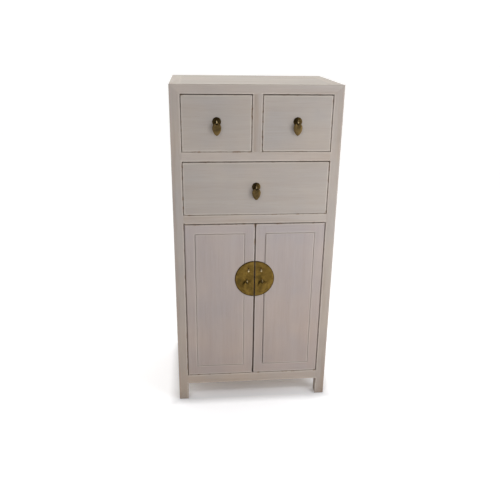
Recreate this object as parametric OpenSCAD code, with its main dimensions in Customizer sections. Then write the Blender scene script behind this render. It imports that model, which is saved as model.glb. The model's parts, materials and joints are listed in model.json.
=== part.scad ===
// Painted elm cabinet: two small drawers over one wide drawer over a pair of
// inset doors. Mortised post-and-rail frame, flush panels held by tongues,
// dovetailed drawers, doors that turn on wooden pivot pins, brass fittings.
// Millimetres. +Z is up, the front faces -Y, the origin is on the floor under
// the middle of the whole object.

/* [Cabinet] */
// Overall width
cab_w = 600; // [560:1:660]
// Depth of the carcass, without the fittings that stand out in front
cab_d = 420; // [390:1:460]
// Overall height
cab_h = 1250; // [1210:1:1300]
// Side of the square corner posts
post = 37; // [36:0.5:42]
// Height of the legs, from the floor to the bottom rail
leg_h = 74; // [50:1:100]
// Height of the bottom rail
bottom_rail_h = 40; // [36:1:50]
// Height of the two rails that cross the front between the openings
mid_rail_h = 34; // [32:1:40]
// Height of the mitred frame round the top
top_rail_h = 32; // [30:1:36]
// Depth of every rail from its outer face
rail_d = 30; // [28:1:34]
// Height of both drawer openings
drawer_open_h = 196; // [180:1:206]
// Width of the upright between the two small drawers
divider_w = 36; // [30:1:44]

/* [Doors and drawers] */
// Thickness of the doors and drawer fronts
front_t = 22; // [22:0.5:24]
// Gap on each outer side of a door or drawer front
side_gap = 1.5; // [1.3:0.1:2]
// Gap above a door or drawer front
top_gap = 2.6; // [2:0.1:3.5]
// Gap under a drawer front
drawer_low_gap = 1; // [0.8:0.1:1.5]
// Gap under a door
door_low_gap = 1.5; // [1:0.1:2]
// Gap between the two doors
meeting_gap = 3; // [2.5:0.1:4]
// Width of the door stiles
stile_w = 38; // [34:1:44]
// Height of the top rail of a door
door_top_h = 37; // [32:1:44]
// Height of the bottom rail of a door
door_bottom_h = 40; // [34:1:48]
// Thickness of drawer sides and backs
box_t = 12; // [10:0.5:13]
// Distance from the front face to the end of a drawer
drawer_len = 365; // [330:1:370]

/* [Fittings] */
// Radius of the two half-round plates that face each other across the doors
plate_r = 73; // [65:1:76]
// Height of the plate's centre above the floor
plate_z = 535; // [480:1:560]
// Radius of the domed rosette behind a drawer pull
rosette_r = 15.5; // [14:0.5:18]
// Distance of a drawer pull below the top of its opening
pull_drop = 91.5; // [84:0.5:100]
// Half width of a leaf pendant
leaf_half_w = 15.5; // [14:0.5:17]
// Length of a leaf pendant below its pivot
leaf_len = 45; // [43:0.5:50]

/* [Hidden] */
$fn = 96;
eps = 0.01;
// How far a cutting block runs past what it cuts
over = 1;
// Play left round hidden tenons and tongues
fit_gap = 0.15;
// Play left round each hinge pin in its door
pin_gap = 0.05;
// Gap at each hidden end of a hinge pin
pin_end_gap = 1;
// Sides of the round wire and of the dome, as drawn
wire_sides = 32;
dome_sides = 360;
// Width of the line that shows round each flush panel
panel_line = 0.8;

// Heights of the openings, from the floor
z_bottom = leg_h + bottom_rail_h;
z_top = cab_h - top_rail_h;
z_upper = z_top - drawer_open_h;
z_wide_top = z_upper - mid_rail_h;
z_wide = z_wide_top - drawer_open_h;
z_door_top = z_wide - mid_rail_h;

// Half widths, measured from the middle
half_w = cab_w / 2;
open_half = half_w - post;
rear_face = cab_d - post;
rear_rail_face = cab_d - rail_d;

// Joinery of the carcass
tenon_l = 14;
tenon_t = 12;
tenon_inset = 10;
front_tenon_in = 9;
side_tenon_in = 11;
tongue_t = 5;
tongue_l = 8;
tongue_in = 3.5;
side_panel_t = 12;
top_panel_t = 14;
back_t = 8;
back_in = 8;
floor_t = 14;
floor_low = 4;
stub_l = 6;

// Drawer running gear
runner_w = 24;
runner_h = 18;
runner_gap = 1;
centre_runner_w = 64;
guide_h = 20;
stop_w = 30;
stop_h = 7;
door_stop_h = 10;
stop_gap = 0.4;
stop_spread = 60;
post_gap = 0.5;

// Shelf and battens
shelf_z = 428;
shelf_t = 18;
shelf_front = 50;
cleat = 18;
batten_w = 30;
batten_x = 110;

// Drawer box
run_gap = 0.4;
side_short = 20;
base_t = 6;
base_up = 12;
base_in = 6;
back_up = 0.2;
back_set = 8;
housing = 4;
tail_l = 14;
tail_root = 16;
tail_tip = 22;
tails = 4;

// Door
door_tenon_l = 22;
door_tenon_t = 8;
door_panel_t = 12;
pivot_in = 10;
pivot_back = 9;
pivot_r = 4;
pivot_hold = 20;
pivot_out = 9;
running_gap = 0.08;
turn_gap = 0.5;
turn_r = pivot_in + side_gap - turn_gap;

// Eyelet and pendant, distances measured out from the face they stand on
ring_r = 5;
wire_r = 1.5;
ring_out = 9.7;
shank_r = 2.4;
shank_hole_r = 2.6;
clench_l = 13;
clench_w = 4;
clench_t = 1.6;
eye_r = 4.3;
eye_wire_r = 1.3;
link_gap = 0.35;
leaf_t = 2;
shoulder_drop = 2;
leaf_tip_r = 6;
pivot_drop = ring_r - wire_r - eye_wire_r - link_gap;
stand_out = ring_out + ring_r + wire_r;
rosette_t = 3;
rosette_rim = 1;
rosette_flat = 5;

// Door plate and lock staple
plate_t = 2;
plate_rim = 1;
plate_bevel = 4;
plate_set = 1;
door_pull_x = 29;
door_pull_low = 5;
staple_x = 24;
staple_up = 38;
staple_w = 5;
staple_r = 6.5;
staple_hole_r = 3.5;
staple_out = 8.5;

// The front face stands this far behind the origin, so that the footprint,
// fittings included, is centred on it
front_y = (stand_out - cab_d) / 2;

// Openings as [left, right, bottom, top]
left_open = [-open_half, -divider_w / 2, z_upper, z_top];
right_open = [divider_w / 2, open_half, z_upper, z_top];
wide_open = [-open_half, open_half, z_wide, z_wide_top];

// Edges of the left door, and the line it turns about
door_hinge_edge = open_half - side_gap;
door_free_edge = meeting_gap / 2;
door_low = z_bottom + door_low_gap;
door_high = z_door_top - top_gap;
hinge_x = door_hinge_edge - pivot_in;

elm = [0.70, 0.66, 0.62];
bare_elm = [0.66, 0.56, 0.42];
brass = [0.45, 0.36, 0.18];
dark_bronze = [0.16, 0.13, 0.08];

// ---- Helpers -------------------------------------------------------------

// Puts a shape drawn with the front face at y = 0 in its place
module in_place() {
    translate([0, front_y, 0]) children();
}

// Box between two corners, grown outwards by `grow` on every side
module block(low, high, grow = 0) {
    translate(low - [grow, grow, grow]) cube(high - low + 2 * [grow, grow, grow]);
}

// A shape and its mirror image on the other side of the cabinet
module both_sides() {
    children();
    mirror([1, 0, 0]) children();
}

// The shape drawn for the left side, put on side -1 (left) or 1 (right)
module on_side(side) {
    if (side < 0) children();
    else mirror([1, 0, 0]) children();
}

// ---- Panels and their tongues ---------------------------------------------

side_zones = [[z_bottom, z_door_top], [z_wide, z_top]];
back_zones = [[z_bottom, z_door_top], [z_wide, z_wide_top], [z_upper, z_top]];

module side_tongue(zone, grow = 0) {
    block([-half_w + tongue_in, post - tongue_l, zone[0] - tongue_l],
          [-half_w + tongue_in + tongue_t, rear_face + tongue_l, zone[1] + tongue_l], grow);
}

module back_board(zone, grow = 0) {
    block([-open_half - tongue_l, cab_d - back_in - back_t, zone[0] - tongue_l],
          [open_half + tongue_l, cab_d - back_in, zone[1] + tongue_l], grow);
}

module top_tongue(grow = 0) {
    block([-open_half - tongue_l, post - tongue_l, cab_h - tongue_in - tongue_t],
          [open_half + tongue_l, rear_face + tongue_l, cab_h - tongue_in], grow);
}

floor_top = z_bottom - floor_low;
floor_tongue_z = floor_top - floor_t / 2 - tongue_t / 2;

module floor_tongue(grow = 0) {
    block([-open_half + tongue_l, rail_d - tongue_l, floor_tongue_z],
          [open_half - tongue_l, rear_rail_face + tongue_l, floor_tongue_z + tongue_t], grow);
    block([-half_w + rail_d - tongue_l, post + tongue_l, floor_tongue_z],
          [half_w - rail_d + tongue_l, rear_face - tongue_l, floor_tongue_z + tongue_t], grow);
}

// Every groove that a panel runs in, as one cutter for all frame members
module grooves() {
    for (zone = side_zones) both_sides() side_tongue(zone, fit_gap);
    for (zone = back_zones) back_board(zone, fit_gap);
    top_tongue(fit_gap);
    floor_tongue(fit_gap);
}

// ---- Carcass frame --------------------------------------------------------

// Corner of the top frame in its own space: x and y run inwards and z runs
// down from the outer top corner
module to_corner(side, rear) {
    translate([side * half_w, rear ? cab_d : 0, cab_h])
        mirror([side > 0 ? 1 : 0, 0, 0]) mirror([0, rear ? 1 : 0, 0]) mirror([0, 0, 1])
            children();
}

// Wedges of the corner block: the part nearer one direction than another
module wedge_plan(points) {
    linear_extrude(top_rail_h) polygon(points);
}

module wedge_front(points) {
    translate([0, post, 0]) rotate([90, 0, 0]) linear_extrude(post) polygon(points);
}

module wedge_side(points) {
    rotate([90, 0, 90]) linear_extrude(post) polygon(points);
}

// Three-way mitre: each member owns the pyramid that points at the corner
module mitre_front_rail() {
    intersection() {
        wedge_plan([[0, 0], [post, 0], [post, post]]);
        wedge_front([[0, 0], [post, 0], [post, top_rail_h]]);
    }
}

module mitre_side_rail() {
    intersection() {
        wedge_plan([[0, 0], [post, post], [0, post]]);
        wedge_side([[0, 0], [post, 0], [post, top_rail_h]]);
    }
}

module mitre_post() {
    intersection() {
        wedge_front([[0, 0], [post, top_rail_h], [0, top_rail_h]]);
        wedge_side([[0, 0], [post, top_rail_h], [0, top_rail_h]]);
    }
}

// Heights of the rails as [bottom, top]
front_rail_levels = [[leg_h, z_bottom], [z_door_top, z_wide], [z_wide_top, z_upper]];
side_rail_levels = [[leg_h, z_bottom], [z_door_top, z_wide]];

module front_tenon(level, grow = 0) {
    block([-open_half - tenon_l, front_tenon_in, level[0] + tenon_inset],
          [-open_half + eps, front_tenon_in + tenon_t, level[1] - tenon_inset], grow);
}

module rear_tenon(level, grow = 0) {
    translate([0, cab_d, 0]) mirror([0, 1, 0]) front_tenon(level, grow);
}

module side_tenon(level, grow = 0) {
    block([-half_w + side_tenon_in, post - tenon_l, level[0] + tenon_inset],
          [-half_w + side_tenon_in + tenon_t, rear_face + tenon_l, level[1] - tenon_inset],
          grow);
}

module post_member(side, rear) {
    in_place() difference() {
        union() {
            translate([side < 0 ? -half_w : open_half, rear ? rear_face : 0, 0])
                cube([post, post, z_top]);
            to_corner(side, rear) mitre_post();
        }
        grooves();
        on_side(side) {
            for (level = front_rail_levels)
                if (rear) rear_tenon(level, fit_gap);
                else front_tenon(level, fit_gap);
            for (level = side_rail_levels) side_tenon(level, fit_gap);
        }
    }
}

module divider_tenons(grow = 0) {
    block([-divider_w / 2 + tenon_inset, front_tenon_in, z_upper - tenon_t],
          [divider_w / 2 - tenon_inset, front_tenon_in + tenon_t, z_top + tenon_t], grow);
}

// Runners as [left, right, top]
outer_runner = open_half - runner_gap;
runner_beds = [
    [-outer_runner, -outer_runner + runner_w, z_upper],
    [outer_runner - runner_w, outer_runner, z_upper],
    [-centre_runner_w / 2, centre_runner_w / 2, z_upper],
    [-outer_runner, -outer_runner + runner_w, z_wide],
    [outer_runner - runner_w, outer_runner, z_wide]
];

module runner_stub(bed, grow = 0) {
    block([bed[0] + stub_l, rail_d - stub_l, bed[2] - runner_h + stub_l],
          [bed[1] - stub_l, rear_rail_face + stub_l, bed[2] - stub_l], grow);
}

module batten_stub(side, grow = 0) {
    block([side * batten_x - batten_w / 2 + stub_l, post - stub_l, z_top + stub_l],
          [side * batten_x + batten_w / 2 - stub_l, rear_face + stub_l,
           cab_h - top_panel_t - stub_l / 2], grow);
}

module front_rail(level) {
    block([-open_half, 0, level[0]], [open_half, rail_d, level[1]]);
    both_sides() front_tenon(level);
}

module rear_rail(level) {
    translate([0, cab_d, 0]) mirror([0, 1, 0]) front_rail(level);
}

module pivot_socket(z, up) {
    depth = pivot_out + pin_end_gap;
    both_sides() translate([-hinge_x, pivot_back, up ? z - depth : z - eps])
        cylinder(r = pivot_r + running_gap, h = depth + eps);
}

module post_front_left() { color(elm) post_member(-1, false); }
module post_front_right() { color(elm) post_member(1, false); }
module post_rear_left() { color(elm) post_member(-1, true); }
module post_rear_right() { color(elm) post_member(1, true); }

module long_top_rail(rear) {
    difference() {
        union() {
            translate([-open_half, rear ? rear_face : 0, z_top])
                cube([2 * open_half, post, top_rail_h]);
            for (side = [-1, 1]) to_corner(side, rear) mitre_front_rail();
        }
        grooves();
        for (side = [-1, 1]) batten_stub(side, fit_gap);
    }
}

module top_rail_front() {
    color(elm) in_place() difference() {
        long_top_rail(false);
        divider_tenons(fit_gap);
    }
}

module top_rail_rear() {
    color(elm) in_place() long_top_rail(true);
}

module top_rails_side() {
    color(elm) in_place() both_sides() difference() {
        union() {
            translate([-half_w, post, z_top]) cube([post, rear_face - post, top_rail_h]);
            for (rear = [false, true]) to_corner(-1, rear) mitre_side_rail();
        }
        grooves();
    }
}

module top_panel() {
    color(elm) in_place() {
        block([-open_half + panel_line, post + panel_line, cab_h - top_panel_t],
              [open_half - panel_line, rear_face - panel_line, cab_h]);
        top_tongue();
    }
}

module top_battens() {
    color(bare_elm) in_place() for (side = [-1, 1]) {
        block([side * batten_x - batten_w / 2, post, z_top],
              [side * batten_x + batten_w / 2, rear_face, cab_h - top_panel_t]);
        batten_stub(side);
    }
}

module drawer_divider() {
    color(elm) in_place() {
        block([-divider_w / 2, 0, z_upper], [divider_w / 2, rail_d, z_top]);
        divider_tenons();
    }
}

module upper_rail_front() {
    color(elm) in_place() difference() {
        front_rail(front_rail_levels[2]);
        divider_tenons(fit_gap);
        for (bed = runner_beds) runner_stub(bed, fit_gap);
    }
}

module lower_rail_front() {
    color(elm) in_place() difference() {
        front_rail(front_rail_levels[1]);
        for (bed = runner_beds) runner_stub(bed, fit_gap);
        pivot_socket(z_door_top, false);
    }
}

module bottom_rail_front() {
    color(elm) in_place() difference() {
        front_rail(front_rail_levels[0]);
        grooves();
        pivot_socket(z_bottom, true);
    }
}

module side_rails() {
    color(elm) in_place() both_sides() difference() {
        for (level = side_rail_levels) {
            block([-half_w, post, level[0]], [-half_w + rail_d, rear_face, level[1]]);
            side_tenon(level);
        }
        grooves();
    }
}

module rear_rails() {
    color(elm) in_place() difference() {
        for (level = front_rail_levels) rear_rail(level);
        grooves();
        for (bed = runner_beds) runner_stub(bed, fit_gap);
    }
}

module side_panels() {
    color(elm) in_place() both_sides() for (zone = side_zones) {
        block([-half_w, post + panel_line, zone[0] + panel_line],
              [-half_w + side_panel_t, rear_face - panel_line, zone[1] - panel_line]);
        side_tongue(zone);
    }
}

module back_panels() {
    color(bare_elm) in_place() for (zone = back_zones) back_board(zone);
}

module floor_board() {
    notch = post + post_gap;
    color(bare_elm) in_place() {
        difference() {
            block([-half_w + rail_d, rail_d, floor_top - floor_t],
                  [half_w - rail_d, rear_rail_face, floor_top]);
            for (y = [0, cab_d - notch]) both_sides()
                translate([-half_w, y, floor_top - floor_t - eps])
                    cube([notch, notch, floor_t + 2 * eps]);
        }
        floor_tongue();
    }
}

module shelf() {
    inner = half_w - side_panel_t - post_gap;
    color(bare_elm) in_place()
        block([-inner, shelf_front, shelf_z], [inner, rear_face - post_gap, shelf_z + shelf_t]);
}

module shelf_cleats() {
    color(bare_elm) in_place() both_sides()
        block([-half_w + side_panel_t, shelf_front, shelf_z - cleat],
              [-half_w + side_panel_t + cleat, rear_face - post_gap, shelf_z]);
}

// ---- Drawer running gear --------------------------------------------------

module drawer_runners() {
    color(bare_elm) in_place() for (bed = runner_beds) {
        block([bed[0], rail_d, bed[2] - runner_h], [bed[1], rear_rail_face, bed[2]]);
        runner_stub(bed);
    }
}

module drawer_guides() {
    color(bare_elm) in_place() {
        for (z = [z_upper, z_wide]) both_sides()
            block([-half_w + side_panel_t, post + post_gap, z],
                  [-open_half, rear_face - post_gap, z + guide_h]);
        block([-divider_w / 2, rail_d, z_upper], [divider_w / 2, rear_rail_face, z_upper + guide_h]);
    }
}

module drawer_stop(x, z) {
    block([x - stop_w / 2, front_t + stop_gap, z], [x + stop_w / 2, rail_d, z + stop_h]);
}

module stops() {
    small_middle = (open_half + divider_w / 2) / 2;
    color(bare_elm) in_place() {
        for (side = [-1, 1]) {
            drawer_stop(side * small_middle - stop_spread, z_upper);
            drawer_stop(side * small_middle + stop_spread, z_upper);
            drawer_stop(side * small_middle, z_wide);
        }
        block([-stop_spread, front_t + stop_gap, z_door_top - door_stop_h],
              [stop_spread, rail_d, z_door_top]);
    }
}

// ---- Drawers --------------------------------------------------------------

function pull_x(open) = (open[0] + open[1]) / 2;
function pull_z(open) = open[3] - pull_drop;
function side_height(open) = open[3] - open[2] - side_short - run_gap;

// Dovetails on the front end of a side board, seen from the side
module tail_outline(open, grow) {
    pitch = side_height(open) / tails;
    for (i = [0 : tails - 1]) {
        z = open[2] + run_gap + (i + 0.5) * pitch;
        polygon([[front_t + eps, z - tail_root / 2 - grow], [front_t + eps, z + tail_root / 2 + grow],
                 [front_t - tail_l - grow, z + tail_tip / 2 + grow],
                 [front_t - tail_l - grow, z - tail_tip / 2 - grow]]);
    }
}

module tails_at(open, x, grow = 0) {
    translate([x - grow, 0, 0]) rotate([90, 0, 90])
        linear_extrude(box_t + 2 * grow) tail_outline(open, grow);
}

// Left edges of the two side boards
function side_xs(open) = [open[0] + side_gap, open[1] - side_gap - box_t];

// Bottom board; its front edge is narrower, to pass between the dovetails
module drawer_base(open, grow = 0) {
    left = open[0] + side_gap + box_t;
    right = open[1] - side_gap - box_t;
    z = open[2] + base_up;
    block([left - base_in, front_t + 2 * fit_gap, z], [right + base_in, drawer_len, z + base_t], grow);
    block([left + fit_gap, front_t - base_in, z], [right - fit_gap, drawer_len, z + base_t], grow);
}

module drawer_back_board(open, grow = 0) {
    left = open[0] + side_gap + box_t;
    right = open[1] - side_gap - box_t;
    block([left - housing, drawer_len - back_set - box_t, open[2] + base_up + base_t + back_up],
          [right + housing, drawer_len - back_set, open[2] + run_gap + side_height(open) - housing],
          grow);
}

// Hole through a front for the shank of an eyelet or staple
module shank_hole(x, z, depth) {
    translate([x, -eps, z]) rotate([-90, 0, 0]) cylinder(r = shank_hole_r, h = depth + 2 * eps);
}

module drawer_front(open) {
    color(elm) in_place() difference() {
        block([open[0] + side_gap, 0, open[2] + drawer_low_gap],
              [open[1] - side_gap, front_t, open[3] - top_gap]);
        for (x = side_xs(open)) tails_at(open, x, fit_gap);
        drawer_base(open, fit_gap);
        shank_hole(pull_x(open), pull_z(open), front_t);
    }
}

module drawer_sides(open) {
    color(bare_elm) in_place() difference() {
        for (x = side_xs(open)) {
            translate([x, front_t, open[2] + run_gap])
                cube([box_t, drawer_len - front_t, side_height(open)]);
            tails_at(open, x);
        }
        drawer_base(open, fit_gap);
        drawer_back_board(open, fit_gap);
    }
}

module drawer_back(open) {
    color(bare_elm) in_place() drawer_back_board(open);
}

module drawer_bottom(open) {
    color(bare_elm) in_place() drawer_base(open);
}

// ---- Brass fittings, drawn about [x, z] of their shank on the front face --

// Turns a profile about an axis that points straight out of the front
module turned(x, z) {
    translate([x, 0, z]) rotate([90, 0, 0]) rotate_extrude() children();
}

module rosette(x, z) {
    // The dome is one arc from the rim to the flat middle
    rise = rosette_t - rosette_rim;
    run = rosette_r - rosette_flat;
    dome_r = (run * run + rise * rise) / (2 * rise);
    color(dark_bronze) in_place() turned(x, z) {
        translate([shank_hole_r, 0]) square([rosette_flat - shank_hole_r, rosette_t]);
        translate([rosette_flat, 0]) square([run, rosette_rim]);
        intersection() {
            translate([rosette_flat, rosette_t - dome_r]) circle(r = dome_r, $fn = dome_sides);
            translate([rosette_flat, rosette_rim]) square([run, rise]);
        }
    }
}

// Shank through the wood with its two legs clenched flat on the inside
module shank(x, z, from_out) {
    translate([x, -from_out, z]) rotate([-90, 0, 0])
        cylinder(r = shank_r, h = from_out + front_t + clench_t);
    block([x - clench_w / 2, front_t, z - clench_l], [x + clench_w / 2, front_t + clench_t, z + clench_l]);
}

// Wire ring that stands upright, seen edge on from the front
module eyelet(x, z) {
    color(brass) in_place() {
        translate([x, -ring_out, z]) rotate([0, 90, 0])
            rotate_extrude() translate([ring_r, 0]) circle(r = wire_r, $fn = wire_sides);
        shank(x, z, ring_out - ring_r);
    }
}

// Leaf that hangs through the ring: round eye, round shoulders, narrow round tip
module pendant(x, z) {
    pivot_z = z - pivot_drop;
    shoulder_z = pivot_z - leaf_half_w - shoulder_drop;
    tip_l = leaf_len - leaf_half_w - shoulder_drop;
    // Each side is one arc, tangent to the rounded tip
    tip_down = tip_l - leaf_tip_r;
    side_r = (leaf_half_w * leaf_half_w + tip_down * tip_down - leaf_tip_r * leaf_tip_r)
        / (2 * (leaf_half_w - leaf_tip_r));
    side_end = side_r * tip_down / (side_r - leaf_tip_r);
    color(brass) in_place() translate([x, -ring_out, 0]) {
        translate([0, 0, pivot_z - eye_r]) rotate([90, 0, 0])
            rotate_extrude() translate([eye_r, 0]) circle(r = eye_wire_r, $fn = wire_sides);
        difference() {
            union() {
                leaf_disc(shoulder_z, 0, leaf_half_w);
                intersection() {
                    leaf_disc(shoulder_z, side_r - leaf_half_w, side_r);
                    leaf_disc(shoulder_z, leaf_half_w - side_r, side_r);
                    translate([-leaf_half_w - eps, -leaf_t, shoulder_z - side_end])
                        cube([2 * leaf_half_w + 2 * eps, 2 * leaf_t, side_end]);
                }
                leaf_disc(shoulder_z - tip_down, 0, leaf_tip_r);
            }
            translate([0, leaf_t, pivot_z - eye_r]) rotate([90, 0, 0])
                cylinder(r = eye_r, h = 2 * leaf_t);
        }
    }
}

module leaf_disc(z, x, r) {
    translate([x, leaf_t / 2, z]) rotate([90, 0, 0]) cylinder(r = r, h = leaf_t);
}

// ---- Doors, drawn for the left side ---------------------------------------

panel_left = -door_hinge_edge + stile_w;
panel_right = -door_free_edge - stile_w;
panel_low = door_low + door_bottom_h;
panel_high = door_high - door_top_h;

module door_tongue(grow = 0) {
    block([panel_left - tongue_l, tongue_in, panel_low - tongue_l],
          [panel_right + tongue_l, tongue_in + tongue_t, panel_high + tongue_l], grow);
}

// Tenons of both door rails, clear of the panel's tongue
module door_tenons(grow = 0) {
    y = front_t - tongue_t - door_tenon_t;
    for (level = [[door_low, panel_low - tongue_l], [panel_high + tongue_l, door_high]])
        block([panel_left - door_tenon_l, y, level[0] + stub_l],
              [panel_right + door_tenon_l, y + door_tenon_t, level[1] - stub_l], grow);
}

// Hinge-side stile: its front edge is rounded about the pivot, so that it
// clears the post as the door turns
module hinge_stile() {
    height = door_high - door_low;
    difference() {
        block([-door_hinge_edge, 0, door_low], [panel_left, front_t, door_high]);
        translate([-door_hinge_edge - eps, -eps, door_low - eps])
            cube([pivot_in + eps, pivot_back + eps, height + 2 * eps]);
    }
    intersection() {
        block([-door_hinge_edge, 0, door_low], [-hinge_x, pivot_back, door_high]);
        translate([-hinge_x, pivot_back, door_low]) cylinder(r = turn_r, h = height);
    }
}

module pivot_holes() {
    for (z = [door_low - eps, door_high - pivot_hold + eps])
        translate([-hinge_x, pivot_back, z]) cylinder(r = pivot_r + pin_gap, h = pivot_hold);
}

door_pull_z = plate_z - door_pull_low;
plate_x = door_free_edge + plate_set;
staple_z = plate_z + staple_up;

module door_stiles() {
    difference() {
        union() {
            hinge_stile();
            block([panel_right, 0, door_low], [-door_free_edge, front_t, door_high]);
        }
        door_tongue(fit_gap);
        door_tenons(fit_gap);
        pivot_holes();
        shank_hole(-door_pull_x, door_pull_z, front_t);
        shank_hole(-staple_x, staple_z, front_t);
    }
}

module door_rails() {
    difference() {
        union() {
            block([panel_left, 0, door_low], [panel_right, front_t, panel_low]);
            block([panel_left, 0, panel_high], [panel_right, front_t, door_high]);
            door_tenons();
        }
        door_tongue(fit_gap);
    }
}

module door_panel() {
    block([panel_left + panel_line, 0, panel_low + panel_line],
          [panel_right - panel_line, door_panel_t, panel_high - panel_line]);
    door_tongue();
}

module door_pivots() {
    for (z = [door_low - pivot_out, door_high - pivot_hold + pin_end_gap])
        translate([-hinge_x, pivot_back, z])
            cylinder(r = pivot_r, h = pivot_out + pivot_hold - pin_end_gap);
}

// Half-round plate, bevelled at its rim, a little back from the door's free edge
module half_plate() {
    difference() {
        turned(-plate_x, plate_z) polygon([[0, 0], [plate_r, 0], [plate_r, plate_rim],
                                           [plate_r - plate_bevel, plate_t], [0, plate_t]]);
        translate([-plate_x, -plate_t - over, plate_z - plate_r - over])
            cube([plate_r + over, plate_t + 2 * over, 2 * (plate_r + over)]);
        translate([0, -plate_t, 0]) {
            shank_hole(-door_pull_x, door_pull_z, plate_t);
            shank_hole(-staple_x, staple_z, plate_t);
        }
    }
}

// Loop for a lock pin, with its bore along the width of the cabinet
module staple() {
    difference() {
        union() {
            translate([-staple_x - staple_w / 2, -staple_out, staple_z]) rotate([0, 90, 0])
                cylinder(r = staple_r, h = staple_w);
            block([-staple_x - staple_w / 2, -staple_out, staple_z - staple_r],
                  [-staple_x + staple_w / 2, -plate_t, staple_z + staple_r]);
            shank(-staple_x, staple_z, plate_t + eps);
        }
        translate([-staple_x - staple_w, -staple_out, staple_z]) rotate([0, 90, 0])
            cylinder(r = staple_hole_r, h = 2 * staple_w);
    }
}

module door_part(side, tint) {
    color(tint) in_place() on_side(side) children();
}

// ---- Named sub-parts of the drawers and doors -----------------------------

module left_drawer_front() { drawer_front(left_open); }
module left_drawer_sides() { drawer_sides(left_open); }
module left_drawer_back() { drawer_back(left_open); }
module left_drawer_bottom() { drawer_bottom(left_open); }
module left_drawer_rosette() { rosette(pull_x(left_open), pull_z(left_open)); }
module left_drawer_eyelet() { eyelet(pull_x(left_open), pull_z(left_open)); }
module left_drawer_pendant() { pendant(pull_x(left_open), pull_z(left_open)); }

module right_drawer_front() { drawer_front(right_open); }
module right_drawer_sides() { drawer_sides(right_open); }
module right_drawer_back() { drawer_back(right_open); }
module right_drawer_bottom() { drawer_bottom(right_open); }
module right_drawer_rosette() { rosette(pull_x(right_open), pull_z(right_open)); }
module right_drawer_eyelet() { eyelet(pull_x(right_open), pull_z(right_open)); }
module right_drawer_pendant() { pendant(pull_x(right_open), pull_z(right_open)); }

module wide_drawer_front() { drawer_front(wide_open); }
module wide_drawer_sides() { drawer_sides(wide_open); }
module wide_drawer_back() { drawer_back(wide_open); }
module wide_drawer_bottom() { drawer_bottom(wide_open); }
module wide_drawer_rosette() { rosette(pull_x(wide_open), pull_z(wide_open)); }
module wide_drawer_eyelet() { eyelet(pull_x(wide_open), pull_z(wide_open)); }
module wide_drawer_pendant() { pendant(pull_x(wide_open), pull_z(wide_open)); }

module left_door_stiles() { door_part(-1, elm) door_stiles(); }
module left_door_rails() { door_part(-1, elm) door_rails(); }
module left_door_panel() { door_part(-1, elm) door_panel(); }
module left_door_pivots() { door_part(-1, bare_elm) door_pivots(); }
module left_door_plate() { door_part(-1, brass) half_plate(); }
module left_door_staple() { door_part(-1, brass) staple(); }
module left_door_eyelet() { eyelet(-door_pull_x, door_pull_z); }
module left_door_pendant() { pendant(-door_pull_x, door_pull_z); }

module right_door_stiles() { door_part(1, elm) door_stiles(); }
module right_door_rails() { door_part(1, elm) door_rails(); }
module right_door_panel() { door_part(1, elm) door_panel(); }
module right_door_pivots() { door_part(1, bare_elm) door_pivots(); }
module right_door_plate() { door_part(1, brass) half_plate(); }
module right_door_staple() { door_part(1, brass) staple(); }
module right_door_eyelet() { eyelet(door_pull_x, door_pull_z); }
module right_door_pendant() { pendant(door_pull_x, door_pull_z); }

post_front_left();
post_front_right();
post_rear_left();
post_rear_right();
top_rail_front();
top_rail_rear();
top_rails_side();
top_panel();
top_battens();
drawer_divider();
upper_rail_front();
lower_rail_front();
bottom_rail_front();
side_rails();
rear_rails();
side_panels();
back_panels();
floor_board();
shelf();
shelf_cleats();
drawer_runners();
drawer_guides();
stops();
left_drawer_front();
left_drawer_sides();
left_drawer_back();
left_drawer_bottom();
left_drawer_rosette();
left_drawer_eyelet();
left_drawer_pendant();
right_drawer_front();
right_drawer_sides();
right_drawer_back();
right_drawer_bottom();
right_drawer_rosette();
right_drawer_eyelet();
right_drawer_pendant();
wide_drawer_front();
wide_drawer_sides();
wide_drawer_back();
wide_drawer_bottom();
wide_drawer_rosette();
wide_drawer_eyelet();
wide_drawer_pendant();
left_door_stiles();
left_door_rails();
left_door_panel();
left_door_pivots();
left_door_plate();
left_door_staple();
left_door_eyelet();
left_door_pendant();
right_door_stiles();
right_door_rails();
right_door_panel();
right_door_pivots();
right_door_plate();
right_door_staple();
right_door_eyelet();
right_door_pendant();
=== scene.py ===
import json
import math
import random

import bmesh
import bpy
from mathutils import Matrix, Vector
from mathutils.bvhtree import BVHTree


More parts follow.
